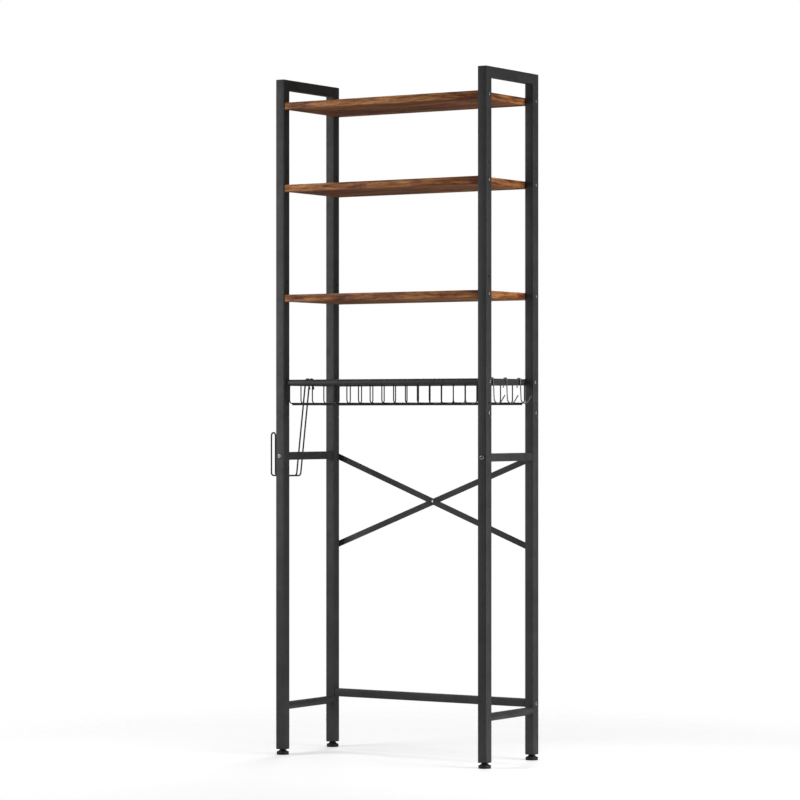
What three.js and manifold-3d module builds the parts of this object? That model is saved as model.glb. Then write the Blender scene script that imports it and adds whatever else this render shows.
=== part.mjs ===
// Over-the-toilet storage rack: two welded side frames, three boards, a wire basket, a back rail with a
// cross brace, levelling feet, hooks and a paper holder. Millimetres, +Z up, front of the rack towards -Y.
import * as THREE from "three";
import { mergeVertices } from "three/addons/utils/BufferGeometryUtils.js";
import Module from "manifold-3d";

const wasm = await Module();
wasm.setup();

// ---- driving dimensions ----
const WIDTH = 625; // over the posts
const DEPTH = 250; // over the posts
const HEIGHT = 1710; // floor to the top rails
const GAP = 0.3; // between pieces that touch
const TUBE = 25; // square tube of posts and top rails
const WALL = 1.2;
const ROUND = 2; // outer corner of the square tube
const SEAM_Z = 855; // where upper and lower posts meet
const FOOT_H = 14; // floor to the underside of the end plugs
const PLUG_FLANGE = 2;
const JOINT_BOLT_Z = 866;
const SPARE_HOLES_Z = [890, 1198, 1475.5]; // unused holes through the posts
const RAIL = 20; // square tube of the mid rails and the back rail, diameter of the bottom side rails
const MID_RAIL_Z = 756.5;
const SIDE_RAIL_Z = 123;
const BACK_RAIL_Z = 142;
const BRACE = { wide: 15, thick: 2, lowZ: 523 };
const BOARD = { thick: 18, edge: 0.8, inset: 2, tops: { top: 1651, middle: 1443, lower: 1165 } };
const BASKET = { tube: 16, topZ: 950, barY: 108, strip: 4 };
const TRAY = { wires: 17, pitch: 34.9, sideY: 111.8, bend: 9, longY: [-97, -35, 35, 97], floorZ: 885 };
const CROSS_WIRE = 3; // diameter of the wires that run front to back
const LONG_WIRE = 4; // diameter of the wires that run left to right
const HOOK = { wire: 3, at: { front: -54, middle: 9, back: 75 }, bend: 11, lean: 35, tip: 19.5 };
const HOLDER = { wire: 4, y: -14.5, apart: 18, armZ: 705, reach: 398, spindle: 110 };
const M4 = { shank: 4, head: 9, headH: 2.6, slot: 3.4 };
const M5 = { shank: 5, head: 10, headH: 2.8, slot: 4 };
const M6 = { shank: 6, head: 11.5, headH: 3.2, slot: 4.6 };

const HW = WIDTH / 2;
const HD = DEPTH / 2;
const POST_X = HW - TUBE / 2; // centre of a post
const POST_Y = HD - TUBE / 2;
const INNER_X = HW - TUBE; // inner faces of the posts
const INNER_Y = HD - TUBE;
const SIDES = { left: -1, right: 1 };
const ENDS = { front: -1, back: 1 };

// ---- materials ----
const paint = { color: 0x3b3c3d, roughness: 0.5, metalness: 0.35 };
const wood = { color: 0x8a5f43, roughness: 0.65, metalness: 0 };
const plastic = { color: 0x161616, roughness: 0.55, metalness: 0 };
const steel = { color: 0x4a4a4b, roughness: 0.4, metalness: 0.8 };
const wireSteel = { color: 0x202021, roughness: 0.42, metalness: 0.5 };

const root = new THREE.Group();

// ---- solids ----
function solid(geometry) {
  const g = geometry.clone();
  g.deleteAttribute("normal");
  g.deleteAttribute("uv");
  const m = mergeVertices(g, 1e-4);
  return new wasm.Manifold(
    new wasm.Mesh({
      numProp: 3,
      vertProperties: new Float32Array(m.attributes.position.array),
      triVerts: new Uint32Array(m.index.array),
    }),
  );
}

function join(pieces) {
  return pieces.reduce((a, b) => a.add(b));
}

function cut(body, tools) {
  return tools.reduce((a, b) => a.subtract(b), body);
}

function place(name, body, look) {
  const m = body.getMesh();
  const g = new THREE.BufferGeometry();
  g.setAttribute("position", new THREE.BufferAttribute(new Float32Array(m.vertProperties), 3));
  g.setIndex(new THREE.BufferAttribute(new Uint32Array(m.triVerts), 1));
  g.computeVertexNormals();
  const mesh = new THREE.Mesh(g, new THREE.MeshStandardMaterial(look));
  mesh.name = name;
  root.add(mesh);
}

function block(x0, x1, y0, y1, z0, z1) {
  const g = new THREE.BoxGeometry(x1 - x0, y1 - y0, z1 - z0);
  return solid(g.translate((x0 + x1) / 2, (y0 + y1) / 2, (z0 + z1) / 2));
}

// A round bar of this diameter from a to b along the axis, centred on the other two coordinates of c.
function rod(axis, diameter, a, b, c, sides = 16) {
  const g = new THREE.CylinderGeometry(diameter / 2, diameter / 2, b - a, sides);
  if (axis === "x") g.rotateZ(-Math.PI / 2).translate((a + b) / 2, c[0], c[1]);
  if (axis === "y") g.translate(c[0], (a + b) / 2, c[1]);
  if (axis === "z") g.rotateX(Math.PI / 2).translate(c[0], c[1], (a + b) / 2);
  return solid(g);
}

// An outline through corner points, each corner rounded by its radius.
function outline(points, radius) {
  const shape = new THREE.Shape();
  const n = points.length;
  points.forEach(([x, y, r = radius], i) => {
    const before = new THREE.Vector2(...points[(i + n - 1) % n].slice(0, 2));
    const after = new THREE.Vector2(...points[(i + 1) % n].slice(0, 2));
    const at = new THREE.Vector2(x, y);
    const p = at.clone().add(before.sub(at).setLength(r));
    const q = at.clone().add(after.sub(at).setLength(r));
    if (i === 0) shape.moveTo(p.x, p.y);
    else shape.lineTo(p.x, p.y);
    if (r > 0) shape.quadraticCurveTo(x, y, q.x, q.y);
  });
  shape.closePath();
  return shape;
}

function squareOutline(size, radius) {
  const h = size / 2;
  return outline([[-h, -h], [h, -h], [h, h], [-h, h]], radius);
}

// A bar of this cross-section from a to b along the axis.
function bar(axis, shape, a, b, c) {
  const g = new THREE.ExtrudeGeometry(shape, { depth: b - a, bevelEnabled: false, curveSegments: 3 });
  g.translate(0, 0, a);
  if (axis === "x") g.rotateX(Math.PI / 2).rotateZ(Math.PI / 2).translate(0, c[0], c[1]);
  if (axis === "y") g.rotateX(-Math.PI / 2).translate(c[0], 0, c[1]);
  if (axis === "z") g.translate(c[0], c[1], 0);
  return solid(g);
}

// ---- wires: a path through corner points with rounded bends, one ring of vertices at each path point ----
class BentPath extends THREE.Curve {
  constructor(points) {
    super();
    this.points = points;
  }
  getPoint(t) {
    const s = t * (this.points.length - 1);
    const i = Math.min(Math.floor(s), this.points.length - 2);
    return this.points[i].clone().lerp(this.points[i + 1], s - i);
  }
  getPointAt(u) {
    return this.getPoint(u);
  }
  getSpacedPoints() {
    return this.points.map((p) => p.clone());
  }
  getTangentAt(u) {
    const last = this.points.length - 1;
    const i = Math.round(u * last);
    const out = i < last ? this.points[i + 1].clone().sub(this.points[i]).normalize() : null;
    const into = i > 0 ? this.points[i].clone().sub(this.points[i - 1]).normalize() : null;
    return out && into ? out.add(into).normalize() : out || into;
  }
}

function bend(corners, radius, perRightAngle) {
  const pts = corners.map((c) => new THREE.Vector3(...c.slice(0, 3)));
  const path = [pts[0]];
  for (let i = 1; i < pts.length - 1; i++) {
    const r = corners[i][3] ?? radius;
    const u = pts[i - 1].clone().sub(pts[i]).normalize();
    const v = pts[i + 1].clone().sub(pts[i]).normalize();
    const inside = u.angleTo(v);
    const turn = Math.PI - inside;
    if (turn < 1e-3) continue;
    const back = r / Math.tan(inside / 2);
    const centre = pts[i].clone().add(u.clone().add(v).setLength(r / Math.sin(inside / 2)));
    const start = pts[i].clone().addScaledVector(u, back).sub(centre);
    const axis = v.clone().cross(u).normalize();
    const steps = Math.max(1, Math.round((turn / (Math.PI / 2)) * perRightAngle));
    for (let k = 0; k <= steps; k++)
      path.push(start.clone().applyAxisAngle(axis, (turn * k) / steps).add(centre));
  }
  path.push(pts[pts.length - 1]);
  return path;
}

function wire(corners, diameter, radius, sides = 8, perRightAngle = 3) {
  const ring = new THREE.Shape();
  for (let i = 0; i < sides; i++) {
    const a = (2 * Math.PI * (i + 0.5)) / sides;
    const p = [(diameter / 2) * Math.cos(a), (diameter / 2) * Math.sin(a)];
    if (i === 0) ring.moveTo(...p);
    else ring.lineTo(...p);
  }
  ring.closePath();
  const path = bend(corners, radius, perRightAngle);
  const g = new THREE.ExtrudeGeometry(ring, {
    steps: path.length - 1,
    extrudePath: new BentPath(path),
    bevelEnabled: false,
  });
  return solid(g);
}

// ---- screws: button head with a round socket, head towards +Z, underside of the head at z 0 ----
const HEADS = {
  "+x": [0, Math.PI / 2, 0],
  "-x": [0, -Math.PI / 2, 0],
  "+y": [-Math.PI / 2, 0, 0],
  "-y": [Math.PI / 2, 0, 0],
};

const outward = (side) => (side > 0 ? "+x" : "-x");

function screw(name, size, length, head, at) {
  const s = size.shank / 2, h = size.head / 2, k = size.slot / 2;
  const profile = [
    [0, -length], [s, -length], [s, 0], [h, 0], [h, size.headH * 0.4], [h * 0.72, size.headH],
    [k, size.headH], [k, size.headH * 0.35], [0, size.headH * 0.35],
  ].map(([r, z]) => new THREE.Vector2(r, z));
  const g = new THREE.LatheGeometry(profile, 8);
  g.rotateX(Math.PI / 2).applyMatrix4(
    new THREE.Matrix4().makeRotationFromEuler(new THREE.Euler(...HEADS[head])),
  );
  place(name, solid(g.translate(...at)), steel);
}

// ---- side frames ----
function upperOutline(grow, bottom) {
  const y = HD - grow, z = HEIGHT - grow, iy = INNER_Y + grow, iz = HEIGHT - TUBE + grow;
  const inner = 0.8 + grow, outer = 3 - grow; // corner radii of the outline
  return outline([
    [-y, bottom, 0], [-iy, bottom, 0], [-iy, iz, inner], [iy, iz, inner],
    [iy, bottom, 0], [y, bottom, 0], [y, z, outer], [-y, z, outer],
  ]);
}

function upperFrame(side) {
  const x = side * POST_X;
  const toYZ = (g) => solid(g.rotateX(Math.PI / 2).rotateZ(Math.PI / 2).translate(x, 0, 0));
  const skin = new THREE.ExtrudeGeometry(upperOutline(0, SEAM_Z - 20), {
    depth: TUBE - 2 * ROUND,
    bevelThickness: ROUND,
    bevelSize: ROUND,
    bevelOffset: -ROUND,
    bevelSegments: 2,
    curveSegments: 3,
  }).translate(0, 0, -TUBE / 2 + ROUND);
  const bore = new THREE.ExtrudeGeometry(upperOutline(WALL, SEAM_Z - 25), {
    depth: TUBE - 2 * WALL, bevelEnabled: false, curveSegments: 3,
  }).translate(0, 0, -TUBE / 2 + WALL);
  const frame = toYZ(skin).subtract(toYZ(bore));
  const holes = [block(x - TUBE, x + TUBE, -HD - 5, HD + 5, SEAM_Z - 40, SEAM_Z + GAP / 2)];
  for (const end of Object.values(ENDS)) {
    const through = (d, y, z) => holes.push(rod("x", d, x - TUBE, x + TUBE, [end * y, z], 8));
    for (const top of Object.values(BOARD.tops)) through(M4.shank + 1, POST_Y, top - BOARD.thick / 2);
    for (const z of SPARE_HOLES_Z) through(M4.shank + 1, POST_Y, z);
    through(M6.shank + 0.6, POST_Y, JOINT_BOLT_Z);
    through(M5.shank + 0.6, BASKET.barY, BASKET.topZ - BASKET.tube / 2);
  }
  return cut(frame, holes);
}

function lowerFrame(side) {
  const x = side * POST_X, z0 = FOOT_H + PLUG_FLANGE + GAP, z1 = SEAM_Z - GAP / 2;
  const post = (end) => bar("z", squareOutline(TUBE, ROUND), z0, z1, [x, end * POST_Y]);
  const bores = (end) => bar("z", squareOutline(TUBE - 2 * WALL, 0.8), z0 - 5, z1 + 5, [x, end * POST_Y]);
  const skin = join([post(-1), post(1), rod("y", RAIL, -INNER_Y - 0.8, INNER_Y + 0.8, [x, SIDE_RAIL_Z], 20)]);
  const railBore = rod("y", RAIL - 2 * WALL, -INNER_Y - 5, INNER_Y + 5, [x, SIDE_RAIL_Z], 20);
  const holes = [bores(-1), bores(1), railBore];
  for (const end of Object.values(ENDS))
    holes.push(rod("y", M6.shank + 0.6, end * POST_Y - TUBE, end * POST_Y + TUBE, [x, MID_RAIL_Z], 12));
  holes.push(rod("x", M6.shank + 0.6, x - TUBE, x + TUBE, [POST_Y, BACK_RAIL_Z], 12));
  holes.push(rod("y", M5.shank + 0.6, POST_Y, POST_Y + TUBE, [x, BRACE.lowZ], 12));
  return cut(skin, holes);
}

for (const [sideName, side] of Object.entries(SIDES)) {
  place(`upper_frame_${sideName}`, upperFrame(side), paint);
  place(`lower_frame_${sideName}`, lowerFrame(side), paint);
}

// Inner sleeves that carry each post across its seam, and the bolt that locks them.
for (const [sideName, side] of Object.entries(SIDES))
  for (const [endName, end] of Object.entries(ENDS)) {
    const x = side * POST_X, y = end * POST_Y, size = TUBE - 2 * WALL - 2 * GAP;
    const sleeve = bar("z", squareOutline(size, 1), SEAM_Z - 45, SEAM_Z + 45, [x, y]);
    place(
      `joint_sleeve_${endName}_${sideName}`,
      cut(sleeve, [
        bar("z", squareOutline(size - 3, 0.5), SEAM_Z - 50, SEAM_Z + 50, [x, y]),
        rod("x", M6.shank + 0.6, x - TUBE, x + TUBE, [y, JOINT_BOLT_Z], 12),
      ]),
      steel,
    );
    // The bolt ends in the sleeve's far wall, short of the post's inner face.
    const head = [side * (HW + GAP), y, JOINT_BOLT_Z];
    screw(`joint_bolt_${endName}_${sideName}`, M6, TUBE - 1.6, outward(side), head);
  }

// ---- rails between the posts: hollow, with threaded end blocks ----
function threadedRail(axis, length, c) {
  const end = 16;
  return cut(bar(axis, squareOutline(RAIL, 1.8), -length / 2, length / 2, c), [
    bar(axis, squareOutline(RAIL - 2 * WALL, 0.6), -length / 2 + end, length / 2 - end, c),
    rod(axis, M6.shank + 0.6, -length / 2 - 5, length / 2 + 5, c, 12),
  ]);
}

for (const [sideName, side] of Object.entries(SIDES)) {
  const x = side * POST_X;
  place(`mid_rail_${sideName}`, threadedRail("y", 2 * (INNER_Y - GAP), [x, MID_RAIL_Z]), paint);
  screw(`mid_rail_bolt_front_${sideName}`, M6, TUBE + 14, "-y", [x, -HD - GAP, MID_RAIL_Z]);
  screw(`back_rail_bolt_${sideName}`, M6, TUBE + 14, outward(side), [side * (HW + GAP), POST_Y, BACK_RAIL_Z]);
}
place("back_rail", threadedRail("x", 2 * (INNER_X - GAP), [POST_Y, BACK_RAIL_Z]), paint);

// ---- cross brace on the back faces of the back posts; its upper bolts also hold the mid rails ----
function braceBar(sign, layer) {
  const y0 = HD + GAP + layer * (BRACE.thick + GAP), y1 = y0 + BRACE.thick;
  const rise = (MID_RAIL_Z - BRACE.lowZ) / 2, slope = Math.atan2(rise, POST_X);
  const half = Math.hypot(rise, POST_X), h = BRACE.wide / 2;
  const shape = new THREE.Shape();
  shape.moveTo(-half, -h);
  shape.lineTo(half, -h);
  shape.absarc(half, 0, h, -Math.PI / 2, Math.PI / 2, false);
  shape.lineTo(-half, h);
  shape.absarc(-half, 0, h, Math.PI / 2, (3 * Math.PI) / 2, false);
  const flat = (s, a, b) =>
    solid(
      new THREE.ExtrudeGeometry(s, { depth: b - a, bevelEnabled: false, curveSegments: 6 })
        .translate(0, 0, -b)
        .rotateX(Math.PI / 2)
        .rotateY(-sign * slope)
        .translate(0, 0, (MID_RAIL_Z + BRACE.lowZ) / 2),
    );
  const pieces = [flat(shape, y0, y1)];
  const holes = [rod("y", M5.shank + 0.6, y0 - 5, y1 + 5, [0, (MID_RAIL_Z + BRACE.lowZ) / 2], 12)];
  for (const end of [-1, 1]) {
    const z = sign * end > 0 ? MID_RAIL_Z : BRACE.lowZ;
    if (layer) pieces.push(rod("y", BRACE.wide - 1, HD + GAP, y0 + 0.5, [end * POST_X, z], 16));
    const d = z === MID_RAIL_Z ? M6.shank : M5.shank;
    holes.push(rod("y", d + 0.6, HD - 5, y1 + 5, [end * POST_X, z], 12));
    const [name, size, grip] = z === MID_RAIL_Z ? ["mid_rail_bolt_back", M6, TUBE + 14] : ["brace_bolt", M5, 9];
    const at = [end * POST_X, y1 + GAP, z];
    screw(`${name}_${end > 0 ? "right" : "left"}`, size, y1 - HD + GAP + grip, "+y", at);
  }
  return cut(join(pieces), holes);
}
place("brace_bar_inner", braceBar(-1, 0), paint);
place("brace_bar_outer", braceBar(1, 1), paint);
{
  const y0 = HD, grip = 3 * GAP + 2 * BRACE.thick, r = M5.shank / 2;
  const profile = [
    [0, -0.9], [4, -0.9], [4.2, 0], [r, 0],
    [r, grip], [4.2, grip], [3, grip + 1.4], [0, grip + 1.8],
  ];
  const g = new THREE.LatheGeometry(profile.map(([a, b]) => new THREE.Vector2(a, b)), 14);
  place("brace_rivet", solid(g.translate(0, y0, (MID_RAIL_Z + BRACE.lowZ) / 2)), steel);
}

// ---- boards and their screws ----
for (const [name, top] of Object.entries(BOARD.tops)) {
  const half = INNER_X - GAP, deep = HD - BOARD.inset, z = top - BOARD.thick / 2;
  const shape = outline([[-half, -deep], [half, -deep], [half, deep], [-half, deep]], 1);
  const g = new THREE.ExtrudeGeometry(shape, {
    depth: BOARD.thick - 2 * BOARD.edge,
    bevelThickness: BOARD.edge,
    bevelSize: BOARD.edge,
    bevelOffset: -BOARD.edge,
    bevelSegments: 1,
    curveSegments: 1,
  }).translate(0, 0, top - BOARD.thick + BOARD.edge);
  const holes = [];
  for (const [sideName, side] of Object.entries(SIDES))
    for (const [endName, end] of Object.entries(ENDS)) {
      const a = side > 0 ? half - 22 : -half - 5, b = side > 0 ? half + 5 : -half + 22;
      holes.push(rod("x", M4.shank + 0.8, a, b, [end * POST_Y, z], 10));
      const at = [side * (HW + GAP), end * POST_Y, z];
      screw(`shelf_screw_${name}_${endName}_${sideName}`, M4, TUBE + 20, outward(side), at);
    }
  place(`shelf_${name}`, cut(solid(g), holes), wood);
}

// ---- basket: two round bars welded between two flat side strips, and a welded wire tray under them ----
{
  const z = BASKET.topZ - BASKET.tube / 2, out = INNER_X - GAP, inn = out - BASKET.strip;
  const deep = BASKET.barY + BASKET.tube / 2;
  const pieces = [], holes = [];
  for (const end of Object.values(ENDS)) {
    pieces.push(rod("x", BASKET.tube, -inn - 1, inn + 1, [end * BASKET.barY, z], 20));
    holes.push(rod("x", BASKET.tube - 3, -inn + 18, inn - 18, [end * BASKET.barY, z], 20));
    holes.push(rod("x", M5.shank + 0.6, -out - 5, out + 5, [end * BASKET.barY, z], 12));
  }
  for (const side of Object.values(SIDES)) {
    const h = BASKET.tube / 2;
    const shape = outline([[-deep, -h], [deep, -h], [deep, h], [-deep, h]], 3);
    const x = side > 0 ? inn : -out;
    pieces.push(bar("x", shape, x, x + BASKET.strip, [0, z]));
  }
  place("basket_frame", cut(join(pieces), holes), paint);
  for (const [sideName, side] of Object.entries(SIDES))
    for (const [endName, end] of Object.entries(ENDS)) {
      const head = [side * (HW + GAP), end * BASKET.barY, z];
      screw(`basket_bolt_${endName}_${sideName}`, M5, TUBE + 18, outward(side), head);
    }

  const longZ = TRAY.floorZ + LONG_WIRE / 2, crossZ = longZ + (LONG_WIRE + CROSS_WIRE) / 2 - 0.5;
  const last = ((TRAY.wires - 1) / 2) * TRAY.pitch, end = last + CROSS_WIRE / 2 - 0.1;
  const topZ = BASKET.topZ - BASKET.tube, y = TRAY.sideY;
  const tray = [];
  for (let i = 0; i < TRAY.wires; i++) {
    const x = -last + i * TRAY.pitch;
    const path = [[x, -y, topZ], [x, -y, crossZ], [x, y, crossZ], [x, y, topZ]];
    tray.push(wire(path, CROSS_WIRE, TRAY.bend, 6, 3));
  }
  for (const longY of TRAY.longY)
    tray.push(wire([[-end, longY, longZ], [end, longY, longZ]], LONG_WIRE, 3, 6, 3));
  place("basket_wire_tray", join(tray), wireSteel);
}

// ---- hooks over the right strip, and the paper holder over the left strip ----
{
  const out = INNER_X - GAP, inn = out - BASKET.strip, r = HOOK.wire / 2 + GAP;
  const a = inn - r, b = out + r, top = BASKET.topZ;
  const low = TRAY.floorZ + 3 + HOOK.wire / 2, lean = (HOOK.lean * Math.PI) / 180, foot = b + 3;
  const far = foot + HOOK.bend * (1 + Math.tan((Math.PI / 2 - lean) / 2));
  for (const [name, y] of Object.entries(HOOK.at)) {
    const path = [
      [a - 2.4, y, top - 22], [a, y, top - 14, 4], [a, y, top + r, r + 0.02], [b, y, top + r, r + 0.02],
      [b + 0.2, y, top - 6, 20], [foot, y, low, HOOK.bend], [far, y, low, HOOK.bend],
      [far + HOOK.tip * Math.tan(lean), y, low + HOOK.tip],
    ];
    place(`hook_${name}`, wire(path, HOOK.wire, 4, 6, 4), wireSteel);
  }
}
{
  const out = INNER_X - GAP, inn = out - BASKET.strip, r = HOLDER.wire / 2 + GAP;
  const a = -(inn - r), b = -(out + r), top = BASKET.topZ;
  const railX = -(POST_X + RAIL / 2 + r), railTop = MID_RAIL_Z + RAIL / 2;
  const kneeX = b - 2.5, kneeZ = top - 9;
  const lean = (railX - kneeX) / (kneeZ - railTop); // mm outwards per mm down, to pass outside the mid rail
  const footX = kneeX + lean * (kneeZ - HOLDER.armZ);
  const leg = (s) => {
    const y = HOLDER.y + (s * HOLDER.apart) / 2;
    return [
      [a + 2.6, y, top - 24], [a, y, top - 15, 4], [a, y, top + r, r + 0.02], [b, y, top + r, r + 0.02],
      [b, y, top - 1.5, 3], [kneeX, y, kneeZ, 12], [footX, y, HOLDER.armZ, 8], [-HOLDER.reach, y, HOLDER.armZ, 7],
      [-HOLDER.reach, y, HOLDER.armZ + HOLDER.spindle, HOLDER.apart / 2 - 0.1],
    ];
  };
  place("paper_holder", wire([...leg(-1), ...leg(1).reverse()], HOLDER.wire, 8, 6, 3), wireSteel);
}

// ---- end plugs with a threaded bore, and levelling feet ----
for (const [sideName, side] of Object.entries(SIDES))
  for (const [endName, end] of Object.entries(ENDS)) {
    const x = side * POST_X, y = end * POST_Y, stud = 8, z = FOOT_H;
    const plug = join([
      bar("z", squareOutline(TUBE, ROUND), z, z + PLUG_FLANGE, [x, y]),
      bar("z", squareOutline(TUBE - 2 * WALL - 2 * GAP, 1.2), z + PLUG_FLANGE - 0.5, z + 30, [x, y]),
    ]);
    const thread = rod("z", stud + 2 * GAP, z - 5, z + 35, [x, y], 16);
    place(`end_plug_${endName}_${sideName}`, cut(plug, [thread]), plastic);
    const s = stud / 2;
    const profile = [
      [0, 0], [14.4, 0], [15.5, 1.1], [15.5, 6.6], [14.6, 7.8], [12.6, 7.2], [11.3, 8.2],
      [9.6, 10.6], [6.2, z - GAP], [s, z - GAP], [s, z + 31], [s - 1, z + 32], [0, z + 32],
    ].map(([a, b]) => new THREE.Vector2(a, b));
    const g = new THREE.LatheGeometry(profile, 18).rotateX(Math.PI / 2).translate(x, y, 0);
    place(`foot_${endName}_${sideName}`, solid(g), plastic);
  }

// The origin is the middle of the whole rack at floor level.
const size = new THREE.Box3().setFromObject(root);
root.position.set(-(size.min.x + size.max.x) / 2, -(size.min.y + size.max.y) / 2, -size.min.z);

export default root;
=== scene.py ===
"""Looks of an over-the-toilet storage rack.

Charcoal tube frames carry rustic boards, a wire basket, hooks and a paper holder, on four feet.
Everything is in metres in the rack's own frame: +Z up, front towards -Y, hooks towards +X.
"""

import math

import bmesh
import bpy
from mathutils import Matrix, Vector


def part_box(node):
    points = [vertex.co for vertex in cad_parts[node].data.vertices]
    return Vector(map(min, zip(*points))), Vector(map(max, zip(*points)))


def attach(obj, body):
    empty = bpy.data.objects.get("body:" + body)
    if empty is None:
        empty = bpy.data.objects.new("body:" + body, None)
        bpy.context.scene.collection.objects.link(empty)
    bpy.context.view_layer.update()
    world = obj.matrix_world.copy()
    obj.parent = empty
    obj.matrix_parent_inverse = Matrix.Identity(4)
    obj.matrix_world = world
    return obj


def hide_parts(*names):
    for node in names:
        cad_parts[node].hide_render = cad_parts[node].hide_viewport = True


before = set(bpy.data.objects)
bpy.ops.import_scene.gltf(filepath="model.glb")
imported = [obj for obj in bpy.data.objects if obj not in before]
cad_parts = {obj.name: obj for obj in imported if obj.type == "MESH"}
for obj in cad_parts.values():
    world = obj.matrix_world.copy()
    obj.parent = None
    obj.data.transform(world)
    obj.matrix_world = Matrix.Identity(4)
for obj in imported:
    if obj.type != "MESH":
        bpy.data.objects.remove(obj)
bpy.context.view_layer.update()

MM = 0.001
X, Y, Z = 0, 1, 2  # axes of a Vector
FLAT = 0.99  # a normal counts as facing a way from this dot product up
SIDEWAYS = 0.9  # an edge counts as running along an axis from this dot product up
GAP = 0.3 * MM  # between a hanging wire and the strip under it
WALL = 1.2 * MM  # of the square tube
CORNER = 1.6 * MM  # rounded corner of the 25 mm square tube, wider than its wall
RAIL_CORNER = 1.8 * MM  # rounded corner of the 20 mm square tube
CLEAR = {"M4": 5 * MM, "M5": 5.6 * MM, "M6": 6.6 * MM}  # diameters of clearance holes
HOLE_SIDES = 20
SIDES = {"left": -1, "right": 1}
ENDS = {"front": -1, "back": 1}
BOARDS = ("top", "middle", "lower")
RACK = "rack"  # the body that everything fixed rides on

# ---- places, read from the frame ----
left_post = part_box("upper_frame_left")
right_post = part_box("upper_frame_right")
MID_X = (left_post[0][0] + right_post[1][0]) / 2
MID_Y = (left_post[0][1] + left_post[1][1]) / 2
HALF_WIDTH = (right_post[1][0] - left_post[0][0]) / 2
HALF_DEPTH = (left_post[1][1] - left_post[0][1]) / 2
TUBE = left_post[1][0] - left_post[0][0]
TOP_Z = left_post[1][2]
SEAM_Z = left_post[0][2]
POST_X = HALF_WIDTH - TUBE / 2
POST_Y = HALF_DEPTH - TUBE / 2
INNER_Y = HALF_DEPTH - TUBE


def middle(node):
    low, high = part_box(node)
    return (Vector(low) + Vector(high)) / 2


def at(x, y, z):
    """A point given from the middle of the side frames at floor level."""
    return Vector((MID_X + x, MID_Y + y, z))


BASKET_Y = abs(middle("basket_bolt_front_left").y - MID_Y)
SPARE_HOLES = [890 * MM, 1198 * MM, 1475.5 * MM]  # heights of the posts' unused holes
SIDE_RAIL_Z = 123 * MM  # middle of the welded bottom rails
TRAY_FLOOR_Z = 885 * MM  # underside of the tray's long wires
STRIP = 4 * MM  # thickness of the basket's side strips
strip_low, strip_high = (Vector(v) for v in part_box("basket_frame"))


# ---- modelling helpers ----
def object_mode():
    if bpy.context.object and bpy.context.object.mode != "OBJECT":
        bpy.ops.object.mode_set(mode="OBJECT")


def only(*objects):
    object_mode()
    bpy.ops.object.select_all(action="DESELECT")
    for obj in objects:
        obj.select_set(True)
    bpy.context.view_layer.objects.active = objects[0] if objects else None


def settle(name):
    """The primitive just added gets its name, and its place goes into its mesh."""
    obj = bpy.context.object
    obj.name = obj.data.name = name
    bpy.ops.object.transform_apply(location=True, rotation=True, scale=True)
    return obj


def block(name, low, high):
    only()
    low, high = Vector(low), Vector(high)
    bpy.ops.mesh.primitive_cube_add(size=1, location=(low + high) / 2, scale=high - low)
    return settle(name)


def round_bar(name, radius, start, end, sides=32, caps=True):
    only()
    run = end - start
    bpy.ops.mesh.primitive_cylinder_add(
        vertices=sides, radius=radius, depth=run.length, location=(start + end) / 2,
        rotation=run.to_track_quat("Z", "Y").to_euler(), end_fill_type="NGON" if caps else "NOTHING",
    )
    return settle(name)


def bore(diameter, start, end, sides=HOLE_SIDES):
    """The round tool that cuts a hole."""
    return round_bar("hole", diameter / 2, start, end, sides)


def pick(obj, kind, test):
    """Edit mode, with only the faces or edges selected that pass the test."""
    if bpy.context.view_layer.objects.active != obj or obj.mode != "EDIT":
        only(obj)
        bpy.ops.object.mode_set(mode="EDIT")
    bpy.ops.mesh.select_mode(type=kind)
    bpy.ops.mesh.select_all(action="DESELECT")
    mesh = bmesh.from_edit_mesh(obj.data)
    mesh.normal_update()
    for item in {"FACE": mesh.faces, "EDGE": mesh.edges, "VERT": mesh.verts}[kind]:
        if test(item):
            item.select_set(True)
    mesh.select_flush_mode()
    bmesh.update_edit_mesh(obj.data)


def facing(direction, near=None, reach=0.5 * MM):
    """Faces that look this way, and lie at this distance along it when one is given."""
    direction = Vector(direction)

    def test(face):
        if face.normal.dot(direction) < FLAT:
            return False
        return near is None or abs(face.calc_center_median().dot(direction) - near) < reach

    return test


def sharp(edge):
    return len(edge.link_faces) == 2 and edge.calc_face_angle(0) > math.radians(50)


def runs_along(axis):
    """Edges that run along this axis."""
    return lambda edge: abs((edge.verts[0].co - edge.verts[1].co).normalized()[axis]) > SIDEWAYS


def rim(axis, above=-math.inf, below=math.inf):
    """Sharp edges with both ends above one place along the axis and below the other."""
    return lambda edge: sharp(edge) and all(above < v.co[axis] < below for v in edge.verts)


def push(move):
    bpy.ops.mesh.extrude_region_move(TRANSFORM_OT_translate={"value": move})


def steps_in(steps):
    """The selected faces go through inset and lift pairs, like turning a profile."""
    for inset, lift in steps:
        if inset:
            bpy.ops.mesh.inset(thickness=inset, depth=lift)
        else:
            bpy.ops.mesh.extrude_region_shrink_fatten(TRANSFORM_OT_shrink_fatten={"value": lift})


def round_edges(obj, test, width, segments=3):
    pick(obj, "EDGE", test)
    bpy.ops.mesh.bevel(offset=width, segments=segments, profile=0.5, clamp_overlap=True)


def finish_mesh(obj, angle=35):
    only(obj)
    bpy.ops.object.shade_smooth_by_angle(angle=math.radians(angle))
    return obj


def modify(obj, kind, **settings):
    only(obj)
    modifier = obj.modifiers.new(kind.title(), kind)
    for key, value in settings.items():
        setattr(modifier, key, value)
    bpy.ops.object.modifier_apply(modifier=modifier.name)
    return obj


def drill(obj, *tools):
    """Cuts the tools' shape out of the piece, and drops the tools."""
    tool = weld(*tools)
    modify(obj, "BOOLEAN", operation="DIFFERENCE", object=tool, solver="EXACT")
    bpy.data.objects.remove(tool)
    return obj


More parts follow.
